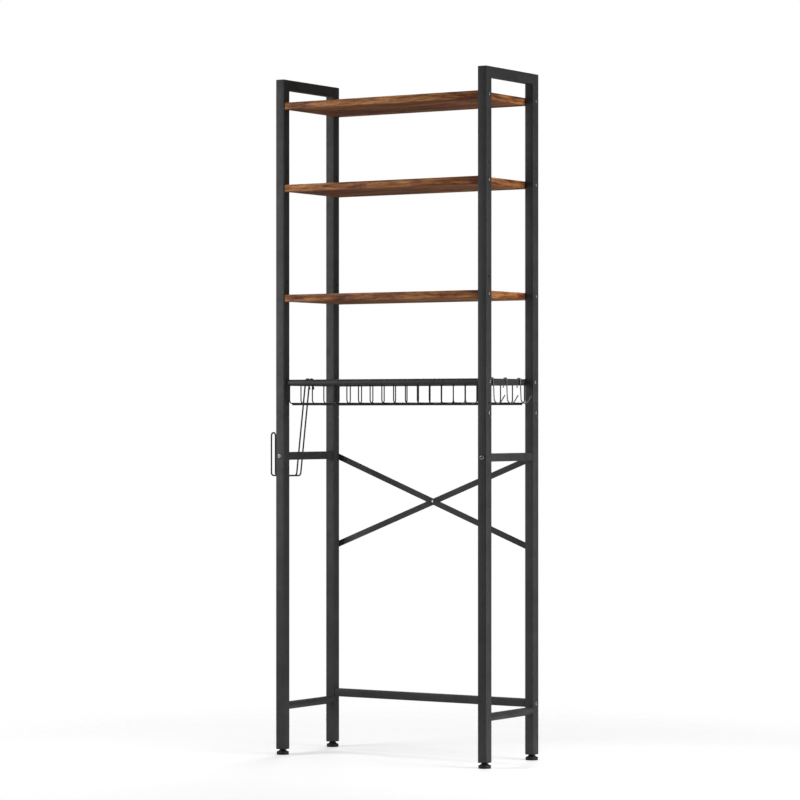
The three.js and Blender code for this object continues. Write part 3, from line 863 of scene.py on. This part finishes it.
# ---- hooks and paper holder ----
def hook(name):
    low, high = (Vector(v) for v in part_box(f"hook_{name}"))
    thin, bend, lean = 3 * MM, 11 * MM, math.radians(35)
    # The short end behind the strip: its length, where it kinks, how far it kicks out, and the kink's bend.
    short_end, kink, kick, kink_bend = 22 * MM, 14 * MM, 2.4 * MM, 4 * MM
    y = (low.y + high.y) / 2
    r = thin / 2 + GAP
    inner = strip_high.x - STRIP - r
    outer = strip_high.x + r
    top = strip_high.z
    floor = low.z + thin / 2
    foot = outer + 3 * MM
    far = foot + bend * (1 + math.tan((math.pi / 2 - lean) / 2))
    tip = 19.5 * MM
    # From the short leg behind the strip, over it, down and round to the tip.
    return wire(f"s_hook_{name}", [
        (inner - kick, y, top - short_end), (inner, y, top - kink, kink_bend), (inner, y, top + r, r),
        (outer, y, top + r, r), (outer + 0.2 * MM, y, top - 6 * MM, 20 * MM), (foot, y, floor, bend),
        (far, y, floor, bend), (far + tip * math.tan(lean), y, floor + tip),
    ], thin, 4 * MM, 14, 7)


def paper_holder():
    low, high = (Vector(v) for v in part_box("paper_holder"))
    thin, apart, spindle = 4 * MM, 18 * MM, 110 * MM
    short_end, kink, kick, kink_bend = 24 * MM, 15 * MM, 2.6 * MM, 4 * MM  # as on the hooks
    mid_y = (low.y + high.y) / 2
    r = thin / 2 + GAP
    inner = strip_low.x + STRIP + r
    outer = strip_low.x - r
    top = strip_high.z
    rail_low, rail_high = (Vector(v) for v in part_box("mid_rail_left"))
    knee_x, knee_z = outer - 2.5 * MM, top - 9 * MM
    # Outwards per unit down, to pass outside the rail.
    lean = (knee_x - (rail_low.x - r)) / (knee_z - rail_high.z)
    arm_z = low.z + thin / 2
    foot = knee_x - lean * (knee_z - arm_z)
    reach = low.x + thin / 2

    def leg(way):
        """From the short end behind the strip, over it, down, out along the arm and up the spindle."""
        y = mid_y + way * apart / 2
        return [
            (inner + kick, y, top - short_end), (inner, y, top - kink, kink_bend), (inner, y, top + r, r),
            (outer, y, top + r, r), (outer, y, top - 1.5 * MM, 3 * MM), (knee_x, y, knee_z, 12 * MM),
            (foot, y, arm_z, 8 * MM), (reach, y, arm_z, 7 * MM), (reach, y, arm_z + spindle, 8.9 * MM),
        ]

    return wire("doubled_wire_holder", leg(-1) + leg(1)[::-1], thin, 8 * MM, 16, 8)


for name in ("front", "middle", "back"):
    hand_over(hook(name), f"hook_{name}", "black_wire", hook_plating, f"hook_{name}")
hand_over(paper_holder(), "paper_holder", "black_wire", black_coat, "paper_holder")


# ---- feet and end plugs ----
# Inset and lift pairs in millimetres, from the rim's top to the tip of the stud.
GLIDE_PROFILE = [
    (0.25, 0.7), (0.65, 0.5), (0.9, -0.1), (1.1, -0.5), (0.5, 0.15), (0.8, 0.85), (0.7, 1.2), (1.0, 1.2),
    (1.8, 1.8), (1.6, 1.3), (2.2, 0), (0, 31.5), (0.8, 0.8),
]


def foot(end_name, side_name):
    """A moulded glide: a rim, a shallow groove, a domed hub and the stud above it."""
    centre = middle(f"foot_{end_name}_{side_name}")
    base = Vector((centre.x, centre.y, 0))
    radius, rim_high = 15.5 * MM, 6.6 * MM
    obj = round_bar(f"glide_{end_name}_{side_name}", radius, base, base + Vector((0, 0, rim_high)), 48)
    round_edges(obj, rim(Z, below=MM), 1.1 * MM, 3)
    pick(obj, "FACE", lambda f: f.normal.z > FLAT and f.calc_center_median().z > rim_high * 0.9)
    steps_in([(inset * MM, lift * MM) for inset, lift in GLIDE_PROFILE])
    return finish_mesh(obj, 40)


def end_plug(end_name, side_name):
    """A flange as wide as the tube, a body that fits inside it, and a bore for the foot's stud."""
    low, high = (Vector(v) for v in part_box(f"end_plug_{end_name}_{side_name}"))
    flange, step, stud_bore = 2 * MM, 1.45 * MM, 8.6 * MM
    obj = block(f"plug_{end_name}_{side_name}", low, (high.x, high.y, low.z + flange))
    round_edges(obj, runs_along(Z), CORNER, 4)
    round_edges(obj, rim(Z, below=low.z + 0.1 * MM), 0.5 * MM, 2)
    pick(obj, "FACE", lambda f: f.normal.z > FLAT)
    steps_in([(step, 0), (0, high.z - low.z - flange)])
    x, y = ((low + high) / 2).xy
    drill(obj, bore(stud_bore, Vector((x, y, low.z - MM)), Vector((x, y, high.z + MM)), 24))
    return finish_mesh(obj)


for end_name in ENDS:
    for side_name in SIDES:
        hand_over(foot(end_name, side_name), f"foot_{end_name}_{side_name}", "foot_plastic", plastic,
                  f"foot_{end_name}_{side_name}")
        hand_over(end_plug(end_name, side_name), RACK, "black_plastic", plastic,
                  f"end_plug_{end_name}_{side_name}")


# ---- the sleeves inside the posts keep their own mesh ----
for node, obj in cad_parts.items():
    if node.startswith("joint_sleeve"):
        obj.data.materials.clear()
        obj.data.materials.append(sleeve_steel)


# ---- floor, light and camera ----
def studio():
    only()
    bpy.ops.mesh.primitive_plane_add(size=6, location=(0, 0, 0))
    floor = bpy.context.object
    floor.name = "floor"
    material, tree = new_material("matte_white_floor")
    # Painted board that fades into white paper between 0.45 and 1.5 m from the middle of the rack.
    here = add(tree, "TexCoord").outputs["Object"]
    away = add(tree, "VectorMath", {0: here}, operation="LENGTH").outputs["Value"]
    fade = add(tree, "MapRange", {
        "Value": away, "From Min": 0.45, "From Max": 1.5, "To Min": 0.0, "To Max": 1.0,
    }, interpolation_type="SMOOTHSTEP").outputs["Result"]
    paint = add(tree, "BsdfDiffuse", {"Color": srgb("#f4f4f4")}).outputs[0]
    # The floor looks paler than the soft light on it, without throwing more light up at the rack.
    seen = add(tree, "LightPath").outputs["Is Camera Ray"]
    lift = add(tree, "Math", {0: seen, 1: 0.34}, operation="MULTIPLY").outputs[0]
    glow = add(tree, "Emission", {"Color": (1, 1, 1, 1), "Strength": lift}).outputs[0]
    lit = add(tree, "AddShader", {0: paint, 1: glow}).outputs[0]
    gone = add(tree, "BsdfTransparent").outputs[0]
    both = add(tree, "MixShader", {"Fac": fade, 1: lit, 2: gone})
    add(tree, "OutputMaterial", {"Surface": both.outputs[0]})
    floor.data.materials.append(material)

    # The rack stands before plain white paper, lit softly from above, the left, the right and the back.
    world = bpy.data.worlds.new("studio")
    bpy.context.scene.world = world
    world.use_nodes = True
    tree = world.node_tree
    tree.nodes.clear()
    seen = add(tree, "LightPath").outputs["Is Camera Ray"]
    paper = add(tree, "Background", {"Color": (1, 1, 1, 1), "Strength": 1.0})
    room = add(tree, "Background", {"Color": (1, 1, 1, 1), "Strength": 0.11})
    both = add(tree, "MixShader", {"Fac": seen, 1: room.outputs[0], 2: paper.outputs[0]})
    add(tree, "OutputWorld", {"Surface": both.outputs[0]})

    def softbox(name, place, aim, size, power):
        light = bpy.data.lights.new(name, "AREA")
        light.shape, light.energy = "RECTANGLE", power
        light.size, light.size_y = size
        obj = bpy.data.objects.new(name, light)
        bpy.context.scene.collection.objects.link(obj)
        obj.location = place
        obj.rotation_euler = (Vector(aim) - Vector(place)).to_track_quat("-Z", "Y").to_euler()
        obj.visible_camera = False

    softbox("left_softbox", (-1.15, -1.2, 1.15), (-0.1, 0, 1.0), (0.8, 1.6), 14.5)
    softbox("right_softbox", (1.3, 0.1, 0.95), (0.3, 0, 0.95), (0.6, 1.8), 11)
    softbox("low_softbox", (1.5, -0.3, 0.35), (0.3, 0, 0.35), (0.6, 0.6), 4)
    # Above the top board, so that it doesn't glance off the boards' undersides.
    softbox("back_softbox", (-0.9, 2.0, 2.7), (0, 0, 0.9), (1.2, 0.8), 26)
    softbox("overhead_softbox", (0, -0.4, 3.4), (0, -0.2, 0), (3.2, 3.2), 26)


def camera():
    data = bpy.data.cameras.new("camera")
    data.sensor_width = 36
    data.lens = 143.0
    data.shift_x, data.shift_y = -0.05, 0.0206
    data.clip_end = 200
    obj = bpy.data.objects.new("camera", data)
    bpy.context.scene.collection.objects.link(obj)
    obj.location = at(4.3354, -6.7147, 0.8567)
    obj.rotation_euler = (math.pi / 2, 0, math.radians(32.24))
    bpy.context.scene.camera = obj


object_mode()
studio()
camera()
bpy.context.scene.view_settings.view_transform = "Standard"
